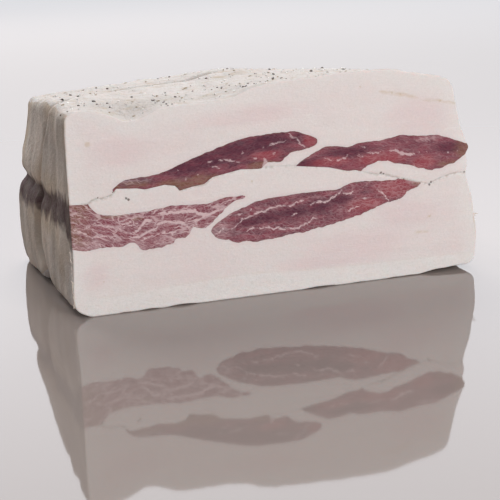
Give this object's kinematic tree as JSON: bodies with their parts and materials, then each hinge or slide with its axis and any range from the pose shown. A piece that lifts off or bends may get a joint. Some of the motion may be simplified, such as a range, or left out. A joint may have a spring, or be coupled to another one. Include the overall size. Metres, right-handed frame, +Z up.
{
  "type": "lardo",
  "caption": "Block of cured pork back fat, two slabs pressed together with lean muscles running through, cut clean across the front, with a peppered, creased cured top.",
  "frame": {"origin": "middle of the underside of the block's box, on the surface it rests on", "axes": "+X along the cut face from the thick left end to the right end, +Y from the front cut face to the back one, +Z up"},
  "size_m": [0.2216, 0.122, 0.1092],
  "materials": {
    "cured_fat": "waxy satin cured pork fat",
    "cured_lean": "moist satin cured lean pork",
    "spice": "dull cracked pepper and dry herb",
    "salt": "coarse curing salt grains"
  },
  "bodies": {
    "root": {"upper_fat": "cured_fat", "lower_fat": "cured_fat", "lean_upper_left": "cured_lean", "lean_upper_right": "cured_lean", "lean_lower_left": "cured_lean", "lean_lower_right": "cured_lean"}
  },
  "joints": []
}
